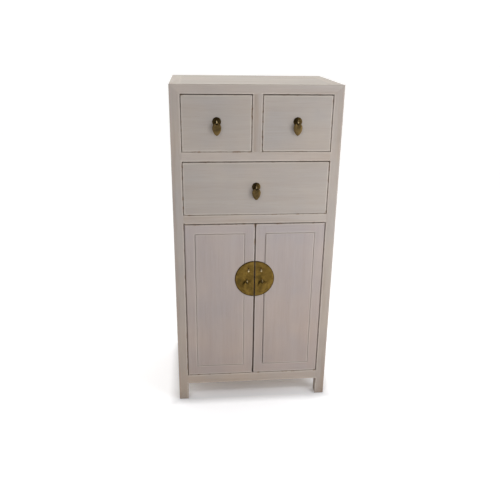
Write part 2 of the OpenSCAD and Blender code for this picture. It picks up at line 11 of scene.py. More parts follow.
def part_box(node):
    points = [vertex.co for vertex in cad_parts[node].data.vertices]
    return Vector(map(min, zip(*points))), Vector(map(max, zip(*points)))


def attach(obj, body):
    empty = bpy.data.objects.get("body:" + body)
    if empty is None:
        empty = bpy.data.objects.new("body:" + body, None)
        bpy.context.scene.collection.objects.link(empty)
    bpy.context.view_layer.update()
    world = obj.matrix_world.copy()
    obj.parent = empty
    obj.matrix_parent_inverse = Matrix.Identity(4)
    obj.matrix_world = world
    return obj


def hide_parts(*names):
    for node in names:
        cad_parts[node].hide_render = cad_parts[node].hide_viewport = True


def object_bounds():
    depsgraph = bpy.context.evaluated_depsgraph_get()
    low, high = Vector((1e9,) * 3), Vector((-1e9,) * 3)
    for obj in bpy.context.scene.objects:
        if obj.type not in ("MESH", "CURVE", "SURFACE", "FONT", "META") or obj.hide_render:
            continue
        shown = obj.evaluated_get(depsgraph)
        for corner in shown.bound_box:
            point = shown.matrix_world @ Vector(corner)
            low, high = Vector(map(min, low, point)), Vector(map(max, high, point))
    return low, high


# Looks for the painted cabinet. Metres, +Z up, the front faces -Y.
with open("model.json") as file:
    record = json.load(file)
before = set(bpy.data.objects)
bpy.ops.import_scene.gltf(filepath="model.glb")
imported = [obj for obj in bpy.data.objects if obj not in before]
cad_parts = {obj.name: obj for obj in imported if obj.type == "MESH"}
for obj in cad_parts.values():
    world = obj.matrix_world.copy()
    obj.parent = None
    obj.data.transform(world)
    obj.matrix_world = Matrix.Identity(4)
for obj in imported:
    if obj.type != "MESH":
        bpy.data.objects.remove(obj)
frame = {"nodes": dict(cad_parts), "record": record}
cad_low, cad_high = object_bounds()
NODES = frame["nodes"]
BODY_OF = {n: b for b, names in frame["record"]["behaviour"]["bodies"].items() for n in names}
SLOT_OF = {s["node"]: s["material_slot"] for s in frame["record"]["subparts"]}

MM = 0.001
FRONT_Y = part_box("post_front_left")[0].y
CAB_LOW = Vector((cad_low.x, FRONT_Y, 0.0))
CAB_HIGH = Vector((cad_high.x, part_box("post_rear_left")[1].y, cad_high.z))

# Rounding of the wood's arrises, and how strongly they wear and carry a painted highlight beside
# them:
# on the outside of the carcass, beside a gap, along a flush panel's line on the front and
# elsewhere, and on hidden wood
OUTER, OPEN, LINE, FINE, ROUGH = ((2.4 * MM, 0.55), (2.0 * MM, 1.0), (2.6 * MM, 0.6),
                                  (0.4 * MM, 0.4), (0.7 * MM, 0.8))
# How far wear, and the painted highlight beside it, spread from an arris
WEAR_AND_HIGHLIGHT_REACH = 7 * MM
# A mesh isn't cut nearer to an arris than this, which leaves room for its rounding
CUT_CLEARANCE = 3.2 * MM
# How far from an edge its surroundings are tested
PROBE = 0.3 * MM
# Width of the line round a flush panel
PANEL_LINE = 0.8 * MM
# Paint in such a line: how far it creeps up the line's sides, and how thick it is
FILL_CREEP, FILL_THICK = 0.15 * MM, 0.3 * MM
# Two coordinates are the same within SAME, and a point is on a plane within ON_PLANE
SAME, ON_PLANE = 0.01 * MM, 0.05 * MM
# A surface turns at least this much over an arris
SHARP = math.radians(50)


# ---- Shader building -------------------------------------------------------

class Shader:
    """A material's node tree, with short calls for the nodes used here."""

    def __init__(self, name):
        self.material = bpy.data.materials.new(name)
        self.material.use_nodes = True
        self.tree = self.material.node_tree
        self.tree.nodes.clear()

    def add(self, kind, inputs=None, **settings):
        node = self.tree.nodes.new("ShaderNode" + kind)
        for key, value in settings.items():
            setattr(node, key, value)
        for key, value in (inputs or {}).items():
            self.feed(node.inputs[key], value)
        return node

    def feed(self, socket, value):
        if isinstance(value, bpy.types.NodeSocket):
            self.tree.links.new(value, socket)
        else:
            socket.default_value = value

    def coordinates(self):
        return self.add("TexCoord").outputs["Object"]

    def stretched(self, vector, scale, offset=(0, 0, 0)):
        inputs = {"Vector": vector, "Scale": scale, "Location": offset}
        return self.add("Mapping", inputs).outputs["Vector"]

    def noise(self, vector, scale, detail=3.0, roughness=0.5, distortion=0.0):
        inputs = {"Vector": vector, "Scale": scale, "Detail": detail,
                  "Roughness": roughness, "Distortion": distortion}
        return self.add("TexNoise", inputs).outputs["Fac"]

    def math(self, operation, a, b=0.0, clamp=False):
        return self.add("Math", {0: a, 1: b}, operation=operation, use_clamp=clamp).outputs[0]

    def span(self, value, low, high, to_low=0.0, to_high=1.0):
        inputs = {"Value": value, "From Min": low, "From Max": high,
                  "To Min": to_low, "To Max": to_high}
        return self.add("MapRange", inputs, clamp=True).outputs["Result"]

    def mix(self, factor, a, b, blend="MIX"):
        node = self.add("Mix", data_type="RGBA", blend_type=blend)
        self.feed(node.inputs[0], factor)
        self.feed(node.inputs[6], a)
        self.feed(node.inputs[7], b)
        return node.outputs[2]

    def attribute(self, name):
        return self.add("Attribute", attribute_name=name).outputs["Fac"]

    def axis(self, vector, letter):
        return self.add("SeparateXYZ", {"Vector": vector}).outputs[letter]

    def bump(self, height, distance, strength=1.0, normal=None):
        inputs = {"Height": height, "Distance": distance, "Strength": strength}
        if normal is not None:
            inputs["Normal"] = normal
        return self.add("Bump", inputs).outputs["Normal"]

    def finish(self, **sockets):
        surface = self.add("BsdfPrincipled")
        for key, value in sockets.items():
            self.feed(surface.inputs[key.replace("_", " ")], value)
        output = self.add("OutputMaterial")
        self.tree.links.new(surface.outputs["BSDF"], output.inputs["Surface"])
        return self.material


def rgb(red, green, blue):
    return (red, green, blue, 1.0)


def along(letter, length, across):
    """Texture scale for a grain that runs along one axis."""
    return tuple(length if axis == letter else across for axis in "xyz")


# ---- Materials ---------------------------------------------------------------

def painted_elm(name, grain, cast, streaks, darkening_and_painted_shade, meeting=0.0):
    """Rubbed warm grey paint over elm, brushed along the grain and worn at its arrises, with a
    band of painted highlight beside them.

    The cast tints it. Streaks is the strength of brown sweeps of the brush. The next pair is how
    dark the lines round a flush panel are low down and high up: dirt, with painted shade where the
    top lines lie in shadow.
    Meeting is how dark the doors' meeting edges are low down: wear, with painted shade for the gap
    between them.
    """
    s = Shader(name)
    place = s.coordinates()
    height = s.axis(place, "Z")
    brush = s.noise(s.stretched(place, along(grain, 9, 520)), 1.0, 4.0, 0.62)
    broad = s.noise(s.stretched(place, along(grain, 2.5, 40)), 1.0, 3.0, 0.55)
    cloud = s.noise(place, 4.5, 3.0, 0.6)
    pores = s.noise(s.stretched(place, along(grain, 22, 1500), (3, 1, 2)), 1.0, 2.0, 0.5)
    patchy = s.noise(place, 38.0, 4.0, 0.65, 0.4)
    sweep = s.noise(s.stretched(place, along(grain, 1.6, 26), (7, 5, 9)), 1.0, 3.0, 0.6)

    # The coat: clouds, brush marks, brown sweeps, a foot made browner and darker with painted
    # shade low down, and open pores
    tint = s.mix(s.span(cloud, 0.36, 0.64), rgb(0.385, 0.337, 0.286), rgb(0.340, 0.314, 0.287))
    tint = s.mix(s.span(broad, 0.3, 0.7, 0.0, 0.30), tint, rgb(0.290, 0.250, 0.212))
    tint = s.mix(s.span(brush, 0.42, 0.75, 0.0, 0.25), tint, rgb(0.450, 0.400, 0.350))
    tint = s.mix(s.span(brush, 0.45, 0.22, 0.0, 0.30), tint, rgb(0.240, 0.200, 0.162))
    tint = s.mix(s.span(sweep, 0.48, 0.66, 0.0, streaks), tint, rgb(0.270, 0.205, 0.150))
    # Darker and browner towards the floor: a browner foot, and painted shade where less light
    # reaches low down
    tint = s.mix(s.span(height, 0.70, 0.05, 0.0, 0.9), tint, rgb(0.93, 0.86, 0.79), "MULTIPLY")
    tint = s.mix(1.0, tint, rgb(*cast), "MULTIPLY")
    pore_mask = s.math("MULTIPLY", s.span(pores, 0.66, 0.74), s.span(patchy, 0.45, 0.62))
    tint = s.mix(s.math("MULTIPLY", pore_mask, 0.45), tint, rgb(0.140, 0.100, 0.068))

    # At the arrises: a pale band of painted highlight beside them, for light caught by their
    # rounding, then wear: thin paint, then bare wood
    arris = s.attribute("arris")
    rubbed = s.math("ADD", arris, s.math("MULTIPLY", s.math("SUBTRACT", patchy, 0.5), 1.5))
    painted_edge_highlight = s.math("MULTIPLY", s.span(arris, 0.10, 0.45, 0.0, 0.40), s.span(arris, 0.95, 0.75))
    tint = s.mix(painted_edge_highlight, tint, rgb(0.520, 0.468, 0.420))
    thin_paint = s.span(rubbed, 0.70, 1.00, 0.0, 0.60)
    bare = s.span(rubbed, 0.90, 1.05, 0.0, 0.85)
    tint = s.mix(thin_paint, tint, rgb(0.235, 0.185, 0.140))
    wood = s.mix(brush, rgb(0.120, 0.070, 0.038), rgb(0.300, 0.190, 0.110))
    tint = s.mix(bare, tint, wood)

    # Dirt and painted shade in a panel's line, wear and painted gap shade on the doors' meeting
    # edges, and scuffs at the feet
    line = s.math("ADD", s.attribute("line"), s.math("MULTIPLY", patchy, 0.4))
    # A panel's line darkened: dirt, and painted shade that is stronger high up on the doors, where
    # the top lines lie in shadow
    line_dirt_and_painted_shade = s.math("MULTIPLY", s.span(line, 1.05, 1.25), s.span(height, 0.30, 0.62, *darkening_and_painted_shade))
    tint = s.mix(line_dirt_and_painted_shade, tint, rgb(0.115, 0.094, 0.078))
    if meeting:
        # Near black on the doors' meeting edges low down: wear, with painted shade for the gap
        # between the doors
        beside = s.span(s.math("ABSOLUTE", s.axis(place, "X")), 2 * MM, 4.5 * MM, 1.0, 0.0)
        edge_wear_and_painted_gap_shade = s.math("MULTIPLY", beside, s.span(height, 0.78, 0.42, 0.0, meeting))
        tint = s.mix(edge_wear_and_painted_gap_shade, tint, rgb(0.060, 0.034, 0.024))
    low = s.span(height, 0.0, 0.07, 1.0, 0.0)
    scuffed = s.span(s.math("MULTIPLY", low, s.span(patchy, 0.40, 0.62)), 0.25, 0.9, 0.0, 0.45)
    tint = s.mix(scuffed, tint, rgb(0.210, 0.150, 0.105))

    relief = s.math("ADD", s.math("MULTIPLY", brush, 0.7), s.math("MULTIPLY", broad, 0.6))
    relief = s.math("SUBTRACT", relief, s.math("MULTIPLY", pore_mask, 0.6))
    relief = s.math("SUBTRACT", relief, s.math("MULTIPLY", bare, 0.5))
    rough = s.span(s.math("ADD", brush, s.math("MULTIPLY", bare, 0.5)), 0.3, 1.1, 0.42, 0.66)
    return s.finish(Base_Color=tint, Roughness=rough, Normal=s.bump(relief, 0.25 * MM, 0.8),
                    Specular_IOR_Level=0.35)


def bare_elm(grain):
    """Unpainted planed elm with open grain."""
    s = Shader("bare_elm_" + grain)
    place = s.coordinates()
    bend = s.noise(place, 3.0, 2.0)
    shift = s.add("CombineXYZ", {letter: s.math("MULTIPLY", bend, amount)
                                 for letter, amount in (("X", 0.06), ("Y", 0.05), ("Z", 0.06))})
    warped = s.add("VectorMath", {0: place, 1: shift.outputs[0]}, operation="ADD").outputs[0]
    rings = s.noise(s.stretched(warped, along(grain, 0.8, 55)), 1.0, 3.0, 0.6)
    pores = s.noise(s.stretched(place, along(grain, 18, 1400)), 1.0, 2.0, 0.5)
    fibre = s.noise(s.stretched(place, along(grain, 6, 500)), 1.0, 4.0, 0.6)
    tint = s.mix(s.span(rings, 0.32, 0.68), rgb(0.440, 0.300, 0.170), rgb(0.270, 0.160, 0.082))
    tint = s.mix(s.span(fibre, 0.35, 0.7, 0.0, 0.4), tint, rgb(0.500, 0.360, 0.220))
    pore_mask = s.span(pores, 0.60, 0.70)
    tint = s.mix(s.math("MULTIPLY", pore_mask, 0.6), tint, rgb(0.110, 0.060, 0.030))
    tint = s.mix(s.math("MULTIPLY", s.attribute("arris"), 0.25), tint, rgb(0.180, 0.110, 0.060))
    relief = s.math("SUBTRACT", fibre, pore_mask)
    return s.finish(Base_Color=tint, Roughness=s.span(rings, 0.3, 0.7, 0.55, 0.70),
                    Normal=s.bump(relief, 0.15 * MM, 0.7), Specular_IOR_Level=0.3)


def aged_metal(name, light, dark, green, polish, rim=None):
    """Old brass: a brown patina in clouds and spots, and near black painted shade on points marked
    for it, such as the inside of a leaf's eye.

    The rim of a pair of half discs is painted darker, standing for the dark reflection of its
    bevel. It is given by the distance of their centres from the middle, the centres' height and
    the radius where that painted darkening starts.
    """
    s = Shader(name)
    place = s.coordinates()
    cloud = s.noise(place, 45.0, 4.0, 0.6, 0.5)
    spots = s.noise(place, 420.0, 3.0, 0.6)
    grain = s.noise(place, 1600.0, 2.0, 0.5)
    tint = s.mix(s.span(cloud, 0.35, 0.68), light, dark)
    tint = s.mix(s.span(spots, 0.52, 0.70, 0.0, 0.6), tint, dark)
    tint = s.mix(s.span(cloud, 0.60, 0.74, 0.0, 0.5), tint, green)
    if rim is not None:
        set_back, middle, start = rim
        across = s.math("SUBTRACT", s.math("ABSOLUTE", s.axis(place, "X")), set_back)
        up = s.math("SUBTRACT", s.axis(place, "Z"), middle)
        radius = s.math("SQRT", s.math("ADD", s.math("MULTIPLY", across, across),
                                       s.math("MULTIPLY", up, up)))
        # Painted dark reflection round the half plates' rim
        darkening_and_painted_shade = s.span(radius, start, start + 3 * MM, 0.0, 0.75)
        tint = s.mix(darkening_and_painted_shade, tint, rgb(0.030, 0.020, 0.010))
    # Near black painted shade on marked points: the inner half of a leaf's eye, where its hole
    # lies in shade
    tint = s.mix(s.math("MULTIPLY", s.attribute("painted_shade"), 0.85), tint, rgb(0.012, 0.009, 0.005))
    rough = s.span(s.math("ADD", cloud, s.math("MULTIPLY", spots, 0.5)), 0.45, 1.0,
                   polish, polish + 0.24)
    relief = s.math("ADD", s.math("MULTIPLY", spots, 0.5), s.math("MULTIPLY", grain, 0.2))
    normal = s.bump(relief, 0.06 * MM, 0.6, s.bump(cloud, 0.5 * MM, 0.5))
    return s.finish(Base_Color=tint, Metallic=1.0, Roughness=rough, Normal=normal)


def floor_paper():
    """Pale studio floor, lit through from below except close to the cabinet."""
    s = Shader("studio_floor")
    place = s.coordinates()
    mottle = s.noise(place, 0.8, 2.0)
    tint = s.mix(s.span(mottle, 0.3, 0.7), rgb(0.85, 0.87, 0.92), rgb(0.87, 0.89, 0.94))
    half, middle = (CAB_HIGH - CAB_LOW) / 2, (CAB_HIGH + CAB_LOW) / 2
    beyond = [s.math("MAXIMUM", s.math("SUBTRACT", s.math("ABSOLUTE", s.math(
        "SUBTRACT", s.axis(place, "XYZ"[i]), middle[i])), half[i]), 0.0) for i in (0, 1)]
    glow = s.span(s.math("MAXIMUM", *beyond), 0.0, 45 * MM, 0.09, 0.45)
    return s.finish(Base_Color=tint, Roughness=0.9, Specular_IOR_Level=0.1,
                    Emission_Color=rgb(1.0, 1.0, 1.0), Emission_Strength=glow)


# Each coat: the grains it's needed in, then its cast, streaks, darkening of the panel lines (dirt
# and painted shade) and darkening of the doors' meeting edges (wear and painted gap shade)
COATS = {"rail": ("xy", (1.09, 1.07, 1.10), 0.42, (0.5, 0.5)),
         "frame": ("xz", (1.01, 1.00, 1.04), 0.45, (0.5, 0.5)),
         "drawer": ("x", (1.01, 1.01, 1.05), 0.12, (0.5, 0.5)),
         "door": ("xz", (1.03, 1.00, 1.09), 0.12, (0.35, 1.0), 0.75)}
MATERIALS = {coat + "_" + grain: painted_elm("painted_" + coat + "_" + grain, grain, *look)
             for coat, (grains, *look) in COATS.items() for grain in grains}
MATERIALS.update({"bare_" + g: bare_elm(g) for g in "xyz"})

PLATE_BRASS = (rgb(0.205, 0.130, 0.030), rgb(0.095, 0.058, 0.014), rgb(0.110, 0.088, 0.022), 0.38)
PLATE_LOW, PLATE_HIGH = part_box("right_door_plate")
# Width of the half plates' rim, which is painted darker as a reflection of its bevel
RIM_WIDTH = 4.5 * MM
RIM = (PLATE_LOW.x, (PLATE_LOW.z + PLATE_HIGH.z) / 2,
       (PLATE_HIGH.z - PLATE_LOW.z) / 2 - RIM_WIDTH)
MATERIALS["plate"] = aged_metal("aged_brass_plate", *PLATE_BRASS)
MATERIALS["half_plate"] = aged_metal("aged_brass_half_plate", *PLATE_BRASS, rim=RIM)
MATERIALS["pendant"] = aged_metal("aged_brass_pendant", rgb(0.165, 0.112, 0.044),
                                  rgb(0.072, 0.048, 0.020), rgb(0.078, 0.064, 0.024), 0.34)
MATERIALS["staple"] = aged_metal("rubbed_brass_staple", rgb(0.650, 0.540, 0.330),
                                 rgb(0.300, 0.220, 0.110), rgb(0.200, 0.160, 0.070), 0.22)
MATERIALS["wire"] = aged_metal("polished_brass_wire", rgb(0.560, 0.440, 0.240),
                               rgb(0.190, 0.140, 0.070), rgb(0.120, 0.095, 0.042), 0.14)
MATERIALS["rosette"] = aged_metal("dark_bronze", rgb(0.075, 0.050, 0.018),
                                  rgb(0.022, 0.014, 0.006), rgb(0.040, 0.032, 0.012), 0.24)


# ---- Objects -------------------------------------------------------------------

def placed(name, data):
    """A new object in the scene."""
    item = bpy.data.objects.new(name, data)
    bpy.context.scene.collection.objects.link(item)
    return item


def object_from(name, mesh, material):
    """A new object with the shape of a bmesh, which is freed."""
    data = bpy.data.meshes.new(name)
    mesh.to_mesh(data)
    mesh.free()
    data.materials.append(material)
    return placed(name, data)


def new_piece(name, mesh, material, body, slot, *replaced):
    """A piece of the cabinet, which rides on a body and may stand for CAD nodes."""
    piece = object_from(name, mesh, material)
    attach(piece, body)
    if replaced:
        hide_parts(*replaced)
    return piece


# ---- Wood: CAD shapes with rounded, worn arrises ------------------------------

def islands(mesh):
    """The separate solids of a welded bmesh, as lists of faces."""
    seen, found = set(), []
    for start in mesh.faces:
        if start in seen:
            continue
        seen.add(start)
        stack, group = [start], []
        while stack:
            face = stack.pop()
            group.append(face)
            for edge in face.edges:
                for other in edge.link_faces:
                    if other not in seen:
                        seen.add(other)
                        stack.append(other)
        found.append(group)
    return found


def welded(node):
    mesh = bmesh.new()
    mesh.from_mesh(NODES[node].data)
    bmesh.ops.remove_doubles(mesh, verts=mesh.verts, dist=1e-6)
    return mesh


class Solid:
    """One closed solid of a CAD node, with a test for points inside it."""

    def __init__(self, node, faces):
        verts = sorted({v for f in faces for v in f.verts}, key=lambda v: v.index)
        index = {v: i for i, v in enumerate(verts)}
        points = [v.co.copy() for v in verts]
        self.node = node
        self.tree = BVHTree.FromPolygons(points, [[index[v] for v in f.verts] for f in faces])
        self.low = Vector(map(min, zip(*points)))
        self.high = Vector(map(max, zip(*points)))

    def holds(self, point):
        if any(not lo <= p <= hi for lo, p, hi in zip(self.low, point, self.high)):
            return False
        ray, hits = Vector((0.31, 0.53, 0.79)).normalized(), 0
        at = point.copy()
        while hits < 50:
            place = self.tree.ray_cast(at, ray)[0]
            if place is None:
                break
            hits += 1
            at = place + ray * 1e-6
        return hits % 2 == 1


def all_solids(nodes):
    solids = []
    for node in nodes:
        mesh = welded(node)
        mesh.verts.index_update()
        solids += [Solid(node, group) for group in islands(mesh)]
        mesh.free()
    return solids


WOOD = [n for n, slot in SLOT_OF.items() if slot in ("painted_elm", "bare_elm")]
SOLIDS = all_solids(WOOD)


def member_lines(solids):
    """Coordinates where members meet, per axis, and a little to either side of them."""
    lines = [set(), set(), set()]
    for solid in solids:
        for axis in range(3):
            for value in (solid.low[axis], solid.high[axis]):
                lines[axis].update(round(value + step, 5)
                                   for step in (-WEAR_AND_HIGHLIGHT_REACH, 0, WEAR_AND_HIGHLIGHT_REACH))
    return lines


def line_of(edge):
    """The line an edge lies on, as (axis it runs along, two coordinates), if along an axis."""
    one, two = (v.co for v in edge.verts)
    level = [axis for axis in range(3) if abs(one[axis] - two[axis]) < SAME]
    if len(level) != 2:
        return None
    return (3 - sum(level), *(round(one[axis], 5) for axis in level))


def sharp_lines(mesh):
    """The lines of a mesh's long sharp convex edges."""
    return {line_of(e) for e in mesh.edges
            if len(e.link_faces) == 2 and e.is_convex and e.calc_length() > 3 * MM
            and e.calc_face_angle(0) > SHARP} - {None}


def stands_free(edge, share, neighbours):
    """Whether both sides of an edge are open at a point a share of the way along it."""
    place = edge.verts[0].co.lerp(edge.verts[1].co, share)
    one, two = (f.normal for f in edge.link_faces)
    return not any(s.holds(place + (out - back) * PROBE)
                   for out, back in ((one, two), (two, one)) for s in neighbours)


def exposed(edge, lines, neighbours, shares=(0.5,)):
    """Whether an edge lies on one of the lines and stands free at one of the shares."""
    if line_of(edge) not in lines or len(edge.link_faces) != 2:
        return False
    if not edge.is_convex or edge.calc_face_angle(0) < SHARP:
        return False
    return any(stands_free(edge, share, neighbours) for share in shares)


def outer_planes(edge):
    """The outer planes of the carcass that an edge lies in, as (axis, coordinate)."""
    return [(axis, limit) for axis in range(3) for limit in (CAB_LOW[axis], CAB_HIGH[axis])
            if all(abs(v.co[axis] - limit) < ON_PLANE for v in edge.verts)]


def beside_line(edge, neighbours):
    """Whether a fixed neighbour stands just across a narrow line from an arris."""
    middle = (edge.verts[0].co + edge.verts[1].co) / 2
    one, two = (f.normal for f in edge.link_faces)
    across = PANEL_LINE + PROBE
    return any(s.holds(middle + out * across - back * PROBE)
               for out, back in ((one, two), (two, one)) for s in neighbours)


def arris_kind(edge, neighbours, painted):
    """Rounding, and the strength of wear and painted highlight, for a free arris."""
    if not painted:
        return ROUGH
    planes = outer_planes(edge)
    if len(planes) > 1:
        return OUTER
    if not beside_line(edge, neighbours):
        return OPEN
    return LINE if planes and planes[0] == (1, CAB_LOW.y) else FINE


def cut_across(mesh, lines, clear_of):
    """Cuts a mesh at coordinates on each axis, except close beside those to keep clear of."""
    for axis in range(3):
        normal = Vector([float(axis == i) for i in range(3)])
        for cut in sorted(lines[axis]):
            if any(SAME < abs(cut - place) < CUT_CLEARANCE for place in clear_of[axis]):
                continue
            geometry = mesh.verts[:] + mesh.edges[:] + mesh.faces[:]
            bmesh.ops.bisect_plane(mesh, geom=geometry, dist=1e-6,
                                   plane_co=normal * cut, plane_no=normal)
    mesh.normal_update()


def places_of(lines):
    """The coordinates that lines keep along their length, per axis."""
    places = [set(), set(), set()]
    for run, *kept in lines:
        for axis, place in zip([i for i in range(3) if i != run], kept):
            places[axis].add(place)
    return places


def timber(node, material, painted):
    """The CAD node's shape with its free arrises rounded and marked for wear and a painted
    highlight.
    """
    mesh = welded(node)
    bmesh.ops.dissolve_limit(mesh, angle_limit=math.radians(1), verts=mesh.verts,
                             edges=mesh.edges, use_dissolve_boundaries=False)
    low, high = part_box(node)
    body = BODY_OF[node]
    near = [s for s in SOLIDS if s.node != node and BODY_OF[s.node] == body
            and all(s.low[i] < high[i] + MM and s.high[i] > low[i] - MM for i in range(3))]
    mesh.normal_update()
    lines = sharp_lines(mesh)
    shares = [i / 16 for i in range(1, 16)]
    lines = {line_of(e) for e in mesh.edges if exposed(e, lines, near, shares)}
    arrises = places_of(lines)
    cut_across(mesh, member_lines(s for s in near if SLOT_OF[s.node] == "painted_elm"), arrises)
    cut_across(mesh, [{place + step for place in places for step in (-WEAR_AND_HIGHLIGHT_REACH, WEAR_AND_HIGHLIGHT_REACH)}
                      for places in arrises], arrises)
    wear_and_highlight = mesh.verts.layers.float.new("arris")
    # Marks the lines round flush panels, which the paint darkens with dirt and painted shade
    darkening_and_painted_shade = mesh.verts.layers.float.new("line")
    weight = mesh.edges.layers.float.new("bevel_weight_edge")
    for edge in mesh.edges:
        if exposed(edge, lines, near):
            radius, wear_and_highlight_level = arris_kind(edge, near, painted)
            edge[weight] = radius / LINE[0]
            for vert in edge.verts:
                vert[wear_and_highlight] = max(vert[wear_and_highlight], wear_and_highlight_level)
                if (radius, wear_and_highlight_level) == LINE:
                    vert[darkening_and_painted_shade] = 1.0
        elif edge.calc_face_angle(math.pi) > math.radians(30):
            edge.smooth = False
    for face in mesh.faces:
        face.smooth = True
    piece = new_piece(node + "_wood", mesh, material, body, SLOT_OF[node], node)
    bevel = piece.modifiers.new("arris", "BEVEL")
    bevel.width = LINE[0]
    bevel.limit_method = "WEIGHT"
    bevel.segments = 3
    bevel.use_clamp_overlap = False
    normals = piece.modifiers.new("normals", "WEIGHTED_NORMAL")
    normals.weight = 80
    normals.keep_sharp = True


# The way the grain runs in the carcass, where it isn't upright
GRAIN = {"x": ["top_rail_front", "top_rail_rear", "top_panel", "upper_rail_front",
               "lower_rail_front", "bottom_rail_front", "rear_rails", "shelf", "floor_board",
               "stops"],
         "y": ["top_rails_side", "side_rails", "shelf_cleats", "drawer_runners",
               "drawer_guides", "top_battens"]}
# Endings of the drawers' and doors' nodes whose grain runs across the cabinet
RUNS_ACROSS = ("_front", "_back", "_bottom", "_rails")


def grain_of(node):
    """The axis that a node's grain runs along."""
    for letter, names in GRAIN.items():
        if node in names:
            return letter
    if node.endswith("drawer_sides"):
        return "y"
    if ("drawer" in node or "door" in node) and node.endswith(RUNS_ACROSS):
        return "x"
    return "z"


def coat_of(node):
    """The coat of paint that a node has, or bare."""
    if SLOT_OF[node] != "painted_elm":
        return "bare"
    if "_door_" in node:
        return "door"
    if node.endswith("drawer_front"):
        return "drawer"
    return "rail" if node.endswith(("rail_front", "rail_rear", "rails", "rails_side")) else "frame"


for wood_node in WOOD:
    coat = coat_of(wood_node)
    timber(wood_node, MATERIALS[coat + "_" + grain_of(wood_node)], coat != "bare")


# ---- Paint that has run into the lines round the flush panels -------------------

def flush_face(node, axis, top_side):
    """Low and high corners of a panel's face that lies flush in its frame."""
    points = [v.co for v in NODES[node].data.vertices]
    level = (max if top_side else min)(p[axis] for p in points)
    flat = [p for p in points if abs(p[axis] - level) < ON_PLANE]
    return Vector(map(min, zip(*flat))), Vector(map(max, zip(*flat)))


def filled_line(mesh, start, end, side, inward, depth, seed):
    """A strip of paint in a panel's line, its surface at a depth that varies along it."""
    chance = random.Random(seed)
    count = max(8, round((end - start).length / (4 * MM)))
    waves = [(chance.uniform(1.5, 24), chance.uniform(0, math.tau)) for _ in range(7)]
    rows = []
    for i in range(count + 1):
        share = i / count
        wave = sum(math.sin(share * rate * math.tau + phase) for rate, phase in waves) / 4
        level = depth[0] + (depth[1] - depth[0]) * min(1.0, max(0.0, 0.5 + wave))
        at = start.lerp(end, share)
        rows.append([mesh.verts.new(at + side * (PANEL_LINE * across) + inward * drop)
                     for across, drop in ((0.0, level - FILL_CREEP), (0.5, level),
                                          (1.0, level - FILL_CREEP), (1.0, level + FILL_THICK),
                                          (0.0, level + FILL_THICK))])
    for row, after in zip(rows, rows[1:]):
        for j in range(5):
            k = (j + 1) % 5
            mesh.faces.new((row[j], row[k], after[k], after[j]))
    mesh.faces.new(rows[0])
    mesh.faces.new(reversed(rows[-1]))


def painted_lines(node, low, high, axis, outward, depths, seed):
    """Fills the four lines round one flush face. The depths are for its low and high side
    on each axis in turn."""
    inward = Vector([-float(outward) if i == axis else 0.0 for i in range(3)])
    one, two = [i for i in range(3) if i != axis]
    mesh = bmesh.new()
    for place, (across, far, limit) in enumerate(((one, False, low), (one, True, high),
                                                  (two, False, low), (two, True, high))):
        run = two if across == one else one
        start, end = low.copy(), low.copy()
        for point in (start, end):
            point[axis] = low[axis]
            point[across] = limit[across] - (0 if far else PANEL_LINE)
        start[run], end[run] = low[run] - PANEL_LINE, high[run] + PANEL_LINE
        side = Vector([float(i == across) for i in range(3)])
        filled_line(mesh, start, end, side, inward, depths[place], seed + place)
    bmesh.ops.recalc_face_normals(mesh, faces=mesh.faces)
    return new_piece(node + "_line_paint", mesh, MATERIALS[coat_of(node) + "_z"], BODY_OF[node],
                     SLOT_OF[node])


def closed_band(mesh, rings, painted_shade_points=0):
    """Joins rings of points, each a closed loop, into a closed band of quads. The first few
    points of every ring may be marked for painted shade."""
    painted_shade = mesh.verts.layers.float.new("painted_shade")
    rows = [[mesh.verts.new(p) for p in ring] for ring in rings]
    count = len(rows[0])
    for row in rows:
        for j, vert in enumerate(row):
            vert[painted_shade] = float(j < painted_shade_points)
    for i, row in enumerate(rows):
        after = rows[(i + 1) % len(rows)]
        for j in range(count):
            k = (j + 1) % count
            face = mesh.faces.new((row[j], row[k], after[k], after[j]))
            face.smooth = True
    bmesh.ops.recalc_face_normals(mesh, faces=mesh.faces)


# Depth of the paint in the lines of each door's panel, in mm, as (shallowest, deepest) at
# the left, right, bottom and top
DOOR_DEPTHS = {"left": ((2.3, 2.7), (2.5, 3.1), (2.2, 2.3), (2.8, 3.1)),
               "right": ((2.6, 3.1), (2.4, 3.1), (2.3, 2.7), (2.8, 3.1))}
for door_seed, (hand, door_depths) in enumerate(DOOR_DEPTHS.items()):
    panel_low, panel_high = flush_face(hand + "_door_panel", 1, False)
    painted_lines(hand + "_door_panel", panel_low, panel_high, 1, -1,
                  [(a * MM, b * MM) for a, b in door_depths], 40 + 10 * door_seed)
top_low, top_high = flush_face("top_panel", 2, True)
painted_lines("top_panel", top_low, top_high, 2, 1, [(0.35 * MM, 0.45 * MM)] * 4, 70)


# ---- Brass ----------------------------------------------------------------------

LEAF_HALF_W = 15.5 * MM
LEAF_LENGTH = 45 * MM
LEAF_T = 2.0 * MM
# The top of the round shoulders lies this far below the pivot
SHOULDER_DROP = 2 * MM
TIP_R = 6 * MM
# Radius of the eye's ring, to the middle of its wire, and of the wire
EYE_R = 4.3 * MM
EYE_WIRE = 1.3 * MM
# Points drawn across the inner half of that wire, and on from there to the leaf's edge
EYE_POINTS, BLADE_POINTS = 9, 11
# Width of the leaf's rounded edge, and height of its crown and of its midrib
LEAF_EDGE, CROWN, RIB = 0.5 * MM, 1.1 * MM, 0.35 * MM


def in_leaf(across, down, tip):
    """Whether a point, measured from the middle of the shoulders, is on the leaf."""
    if down <= 0:
        return math.hypot(across, down) <= LEAF_HALF_W
    tip_down = tip - TIP_R
    side_r = ((LEAF_HALF_W ** 2 + tip_down ** 2 - TIP_R ** 2) / (2 * (LEAF_HALF_W - TIP_R)))
    if down <= side_r * tip_down / (side_r - TIP_R):
        return math.hypot(abs(across) + side_r - LEAF_HALF_W, down) <= side_r
    return math.hypot(across, down - tip_down) <= TIP_R


